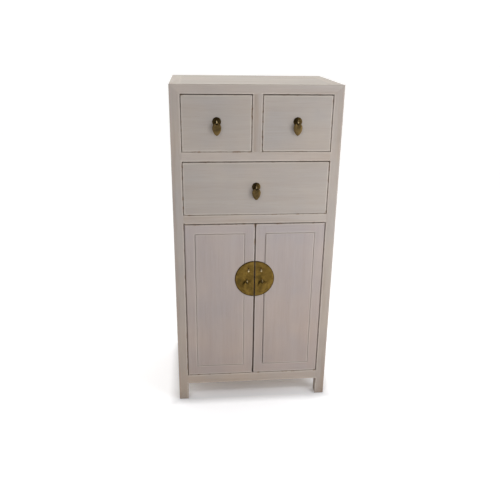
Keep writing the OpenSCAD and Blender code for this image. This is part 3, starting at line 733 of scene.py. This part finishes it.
def leaf_reach(angle, shoulder, tip):
    """Distance from the eye's centre to the leaf's edge at an angle from straight down."""
    eye_edge = EYE_R + EYE_WIRE
    step = 0.05 * MM
    reach = shoulder + tip
    while reach > eye_edge and not in_leaf(reach * math.sin(angle),
                                           reach * math.cos(angle) - shoulder, tip):
        reach -= step
    return max(reach, eye_edge)


def blade_point(angle, reach, share):
    """(distance out, height) on the leaf's front, a share of the way from its eye outwards."""
    start, end = EYE_R + EYE_WIRE * 0.75, reach - LEAF_EDGE
    if end <= start:
        # There is no blade at this angle, only the eye's wire
        out = EYE_R + (reach - EYE_R) * (0.4 + 0.5 * share)
        return out, EYE_WIRE * math.sqrt(max(0.0, 1 - ((out - EYE_R) / EYE_WIRE) ** 2))
    out = start + (end - start) * share
    rise = math.sin(math.pi * share)
    fullness = min(1.0, (reach - start) / (12 * MM)) if share < 1 else 0.0
    rib = RIB * rise * math.exp(-(out * math.sin(angle) / MM) ** 2) if math.cos(angle) > 0 else 0.0
    return out, LEAF_T / 2 + CROWN * rise ** 0.8 * fullness + rib


def leaf_section(angle, reach):
    """The leaf cut from its eye outwards at an angle, as (distance out, height) pairs."""
    section = []
    for i in range(EYE_POINTS):
        turn = math.pi * (i / (EYE_POINTS - 1) - 0.5)
        section.append((EYE_R - EYE_WIRE * math.cos(turn), EYE_WIRE * math.sin(turn)))
    section += [blade_point(angle, reach, i / (BLADE_POINTS - 1)) for i in range(BLADE_POINTS)]
    section += [(reach - 0.12 * MM, 0.31 * LEAF_T), (reach, 0.0),
                (reach - 0.12 * MM, -0.31 * LEAF_T), (reach - LEAF_EDGE, -LEAF_T / 2)]
    back = EYE_R + EYE_WIRE * 0.8
    if reach - 0.6 * MM <= back:
        back = EYE_R + EYE_WIRE * 0.3
    return section + [(back, -LEAF_T / 2)]


def leaf(node, material):
    """A crowned leaf with a raised eye, a faint midrib and a soft edge."""
    low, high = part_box(node)
    centre_x, centre_y = (low.x + high.x) / 2, (low.y + high.y) / 2
    pivot_z = high.z - EYE_WIRE
    eye_z = pivot_z - EYE_R
    shoulder = LEAF_HALF_W + SHOULDER_DROP - EYE_R
    tip = LEAF_LENGTH - LEAF_HALF_W - SHOULDER_DROP
    rings = []
    for j in range(96):
        angle = math.tau * j / 96
        section = leaf_section(angle, leaf_reach(angle, shoulder, tip))
        rings.append([Vector((centre_x + out * math.sin(angle), centre_y - height,
                              eye_z - out * math.cos(angle))) for out, height in section])
    mesh = bmesh.new()
    # The eye's inner points get painted shade, for the shade in the leaf's hole
    closed_band(mesh, rings, EYE_POINTS)
    return new_piece(node + "_leaf", mesh, material, BODY_OF[node], SLOT_OF[node], node)


def rosette(node):
    """A domed rosette with shallow petals round a plain boss."""
    low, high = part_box(node)
    centre = (low + high) / 2
    radius = (high.x - low.x) / 2
    height = high.y - low.y
    petals = 8
    around = petals * 16
    hole = 2.6 * MM
    rows = []
    for j in range(around):
        angle = 2 * math.pi * j / around
        lobe = abs(math.cos(petals * angle / 2))
        edge = radius * (0.98 + 0.02 * lobe ** 0.5)
        profile = [(hole, 0.0), (hole, height * 0.98), (hole + 0.3 * MM, height)]
        for i in range(1, 15):
            share = i / 14
            r = hole + 0.3 * MM + (edge - hole - 0.6 * MM) * share
            dome = height * (1 - 0.72 * share ** 2.2)
            valley = 0.7 * MM * (1 - lobe ** 0.5) * math.sin(math.pi * share) ** 0.7
            boss = 0.25 * MM if share < 0.18 else 0.0
            profile.append((r, max(0.4 * MM, dome - valley - (0.25 * MM - boss))))
        profile += [(edge, 0.35 * MM), (edge - 0.1 * MM, 0.0)]
        rows.append([Vector((centre.x + r * math.sin(angle), high.y - y,
                             centre.z + r * math.cos(angle))) for r, y in profile])
    mesh = bmesh.new()
    closed_band(mesh, rows)
    return new_piece(node + "_petals", mesh, MATERIALS["rosette"], BODY_OF[node],
                     SLOT_OF[node], node)


def recoat(node, material):
    """Gives a CAD node that is shown as it is another material."""
    for entry in NODES[node].material_slots:
        entry.material = material


for metal_node, slot_name in SLOT_OF.items():
    if slot_name not in ("aged_brass", "dark_bronze"):
        continue
    if metal_node.endswith("pendant"):
        leaf(metal_node, MATERIALS["plate" if "door" in metal_node else "pendant"])
    elif metal_node.endswith("rosette"):
        rosette(metal_node)
    elif metal_node.endswith("plate"):
        recoat(metal_node, MATERIALS["half_plate"])
    else:
        recoat(metal_node, MATERIALS["staple" if metal_node.endswith("staple") else "wire"])


# ---- Floor, light and camera -------------------------------------------------------

def studio_floor():
    """A level floor, far wider than the cabinet."""
    mesh = bmesh.new()
    bmesh.ops.create_grid(mesh, x_segments=24, y_segments=24, size=30)
    object_from("floor", mesh, floor_paper())


def area_light(name, place, target, size, power):
    data = bpy.data.lights.new(name, "AREA")
    data.shape = "RECTANGLE"
    data.size, data.size_y = size
    data.energy = power
    light = placed(name, data)
    light.location = place
    light.rotation_euler = (Vector(target) - Vector(place)).to_track_quat("-Z", "Y").to_euler()


def world_light(front, back, above):
    """A white studio: darker on the viewer's side than behind the cabinet and overhead."""
    world = bpy.data.worlds.new("studio")
    world.use_nodes = True
    tree = world.node_tree
    tree.nodes.clear()
    place = tree.nodes.new("ShaderNodeTexCoord")
    parts = tree.nodes.new("ShaderNodeSeparateXYZ")
    tree.links.new(place.outputs["Generated"], parts.inputs[0])

    def ramp(socket, low, high, to_low, to_high):
        node = tree.nodes.new("ShaderNodeMapRange")
        node.interpolation_type = "SMOOTHSTEP"
        for key, value in (("Value", socket), ("From Min", low), ("From Max", high),
                           ("To Min", to_low), ("To Max", to_high)):
            if isinstance(value, bpy.types.NodeSocket):
                tree.links.new(value, node.inputs[key])
            else:
                node.inputs[key].default_value = value
        return node.outputs[0]

    level = ramp(parts.outputs["Y"], -0.3, 0.5, front, back)
    strength = ramp(parts.outputs["Z"], 0.15, 0.95, level, above)
    background = tree.nodes.new("ShaderNodeBackground")
    background.inputs["Color"].default_value = rgb(1.03, 0.99, 0.925)
    tree.links.new(strength, background.inputs["Strength"])
    output = tree.nodes.new("ShaderNodeOutputWorld")
    tree.links.new(background.outputs[0], output.inputs["Surface"])
    bpy.context.scene.world = world


def place_camera():
    """Standing height, a little left of the middle, looking down at the cabinet."""
    data = bpy.data.cameras.new("camera")
    data.sensor_width = 36.0
    data.lens = 40.2
    camera = placed("camera", data)
    pitch, yaw, roll = 21.29, 5.82, 0.90
    turn = Matrix.Rotation(math.radians(-yaw), 3, "Z")
    tilt = Matrix.Rotation(math.radians(90 - pitch), 3, "X")
    lean = Matrix.Rotation(math.radians(roll), 3, "Z")
    camera.rotation_euler = (turn @ tilt @ lean).to_euler()
    camera.location = (-0.2165, FRONT_Y - 1.9382, 1.4124)
    bpy.context.scene.camera = camera


studio_floor()
world_light(front=0.03, back=2.40, above=0.36)
area_light("key", place=(-1.2, -2.2, 3.2), target=(0, 0, 0.9), size=(0.5, 0.5), power=19)
area_light("window", place=(1.35, -1.20, 0.85), target=(0.25, -0.2, 0.7), size=(1.1, 2.2),
           power=22)
place_camera()
bpy.context.scene.view_settings.view_transform = "Standard"
